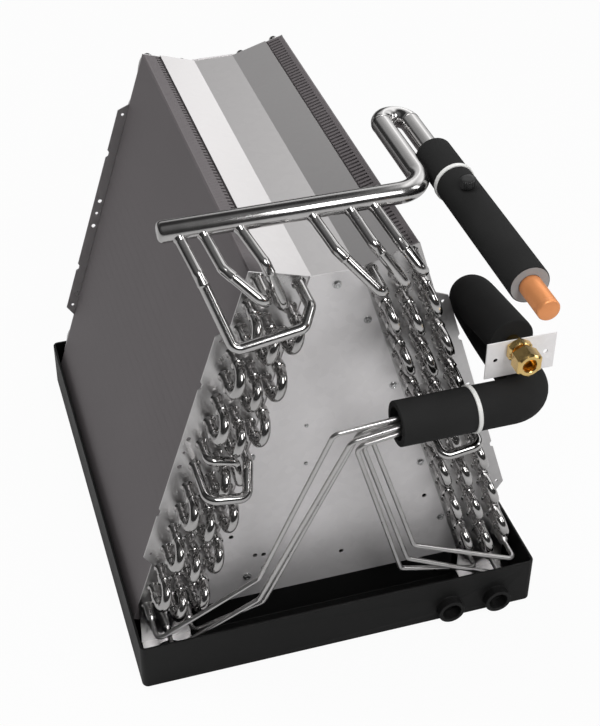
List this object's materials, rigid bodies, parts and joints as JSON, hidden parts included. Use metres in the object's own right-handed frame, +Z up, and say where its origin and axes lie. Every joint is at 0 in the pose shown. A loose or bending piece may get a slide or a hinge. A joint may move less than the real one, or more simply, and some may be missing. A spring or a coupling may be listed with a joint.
{
  "type": "a-coil evaporator",
  "caption": "Uncased A-shaped evaporator coil: two leaning finned slabs on a plastic drain pan, with suction header, distributor tubes and insulated line connections",
  "frame": {"origin": "centre of the pan's width and depth on its underside, at the middle of the air opening's plane", "axes": "+X across the pan to the right as seen from the connections, +Y from the connections to the back, +Z up, the way the air leaves"},
  "size_m": [0.4, 0.5985, 0.4888],
  "materials": {
    "pan_plastic": "satin",
    "fin_aluminium": "satin",
    "sheet_metal": "satin",
    "tube_metal": "polished",
    "copper": "satin",
    "foam": "matte",
    "tie_nylon": "satin",
    "cap_plastic": "satin",
    "brass": "polished",
    "screw_steel": "satin"
  },
  "bodies": {
    "root": {"drain_pan": "pan_plastic", "left_fin_pack": "fin_aluminium", "left_front_tube_sheet": "sheet_metal", "left_rear_tube_sheet": "sheet_metal", "left_return_bends": "tube_metal", "left_hairpin_bends": "tube_metal", "left_crossover_lower": "tube_metal", "left_crossover_upper": "tube_metal", "right_fin_pack": "fin_aluminium", "right_front_tube_sheet": "sheet_metal", "right_rear_tube_sheet": "sheet_metal", "right_return_bends": "tube_metal", "right_hairpin_bends": "tube_metal", "right_crossover_lower": "tube_metal", "right_crossover_upper": "tube_metal", "front_delta_plate": "sheet_metal", "rear_delta_plate": "sheet_metal", "top_baffle": "sheet_metal", "connection_plate": "sheet_metal", "sheet_screws": "screw_steel", "suction_header": "tube_metal", "suction_u_bend": "tube_metal", "suction_line": "tube_metal", "liquid_line": "tube_metal", "distributor": "tube_metal", "suction_stub": "copper", "suction_branch_1": "tube_metal", "feeder_tube_1": "tube_metal", "suction_branch_2": "tube_metal", "feeder_tube_2": "tube_metal", "suction_branch_3": "tube_metal", "feeder_tube_3": "tube_metal", "suction_branch_4": "tube_metal", "feeder_tube_4": "tube_metal", "suction_branch_5": "tube_metal", "feeder_tube_5": "tube_metal", "suction_branch_6": "tube_metal", "feeder_tube_6": "tube_metal", "suction_sleeve_short": "foam", "suction_sleeve_long": "foam", "distributor_sleeve": "foam", "liquid_line_sleeve": "foam", "suction_cable_tie": "tie_nylon", "distributor_cable_tie": "tie_nylon", "service_port": "brass", "service_port_cap": "cap_plastic", "flare_union": "brass", "flare_nut": "brass"}
  },
  "joints": []
}
